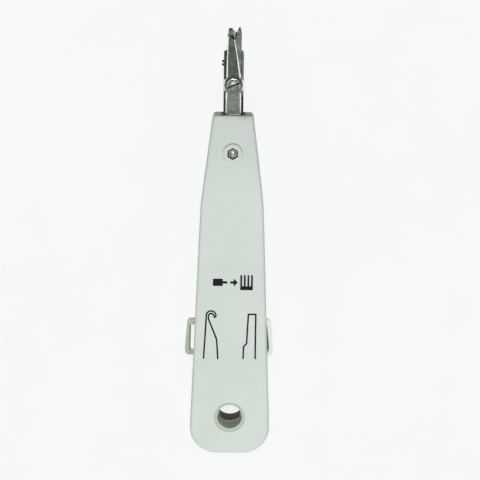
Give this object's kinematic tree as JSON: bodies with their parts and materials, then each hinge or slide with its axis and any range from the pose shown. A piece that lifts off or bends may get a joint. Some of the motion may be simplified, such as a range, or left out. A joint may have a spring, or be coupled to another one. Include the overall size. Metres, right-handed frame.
{
  "type": "punch down tool",
  "caption": "Handheld tool that presses a wire into a terminal slot and trims it, with spring-loaded head, scissors and fold-out hook and blade.",
  "frame": {"origin": "on the flat back face, on the tool's centre line, halfway along its length", "axes": "+Y along the tool to its working end, +Z out of the front face, which carries the nut, +X to the right seen from the front"},
  "size_m": [0.0367, 0.175, 0.02],
  "materials": {
    "shell_plastic": "fine satin moulded plastic, pale green-grey",
    "tab_cream": "moulded plastic, cream",
    "tab_khaki": "moulded plastic, grey-green",
    "nickel_plate": "nickel-plated pressed steel",
    "dark_steel": "oiled blackened steel",
    "ink": "dark blue-black printing ink",
    "spring_steel": "drawn wire and ground pins"
  },
  "bodies": {
    "handle": {"front_shell": "shell_plastic", "back_shell": "shell_plastic", "clamp_screw": "nickel_plate", "clamp_nut": "nickel_plate", "stop_bush": "dark_steel", "rear_screw": "nickel_plate", "spring_seat": "dark_steel", "main_spring": "spring_steel", "scissor_cam": "dark_steel", "hook_pivot_pin": "spring_steel", "blade_pivot_pin": "spring_steel"},
    "head": {"head_channel": "nickel_plate", "fixed_jaw": "nickel_plate", "wire_stuffer": "dark_steel", "sensor_spring": "spring_steel", "pivot_screw": "nickel_plate", "pivot_washer": "dark_steel", "pivot_spacer": "dark_steel", "pivot_nut": "nickel_plate", "tail_plug": "dark_steel", "tail_pin": "spring_steel", "guide_rod": "spring_steel", "fork_rivet": "spring_steel"},
    "scissor": {"scissor_arm": "nickel_plate", "cam_follower": "spring_steel"},
    "sensor": {"sensor_slide": "dark_steel"},
    "lock": {"lock_slide": "dark_steel"},
    "hook": {"hook_tab": "tab_khaki", "wire_hook": "nickel_plate", "hook_rivet": "spring_steel"},
    "blade": {"blade_tab": "tab_cream", "release_blade": "nickel_plate", "blade_rivet": "spring_steel"}
  },
  "joints": [
    {"name": "head_slide", "type": "slide", "parent": "handle", "child": "head", "axis": [0, -1, 0], "range_m": [0, 0.006], "stiffness_N_per_m": 2500, "springref_m": -0.006, "deforming": ["main_spring"]},
    {"name": "scissor_hinge", "type": "hinge", "parent": "head", "child": "scissor", "pos_m": [0, 0.0644, 0.0127], "axis": [0, 0, -1], "range_deg": [0, 5]},
    {"name": "sensor_travel", "type": "slide", "parent": "head", "child": "sensor", "axis": [0, -1, 0], "range_m": [0, 0.0025], "stiffness_N_per_m": 150, "springref_m": -0.001, "deforming": ["sensor_spring"]},
    {"name": "lock_travel", "type": "slide", "parent": "head", "child": "lock", "axis": [0, 1, 0], "range_m": [0, 0.0015]},
    {"name": "hook_fold", "type": "hinge", "parent": "handle", "child": "hook", "pos_m": [-0.011, -0.059, 0.01], "axis": [0, 0, 1], "range_deg": [0, 120]},
    {"name": "blade_fold", "type": "hinge", "parent": "handle", "child": "blade", "pos_m": [0.011, -0.059, 0.01], "axis": [0, 0, -1], "range_deg": [0, 120]}
  ],
  "couplings": [
    {"joint": "scissor_hinge", "follows": "head_slide", "rad_per_m": 14.544}
  ]
}
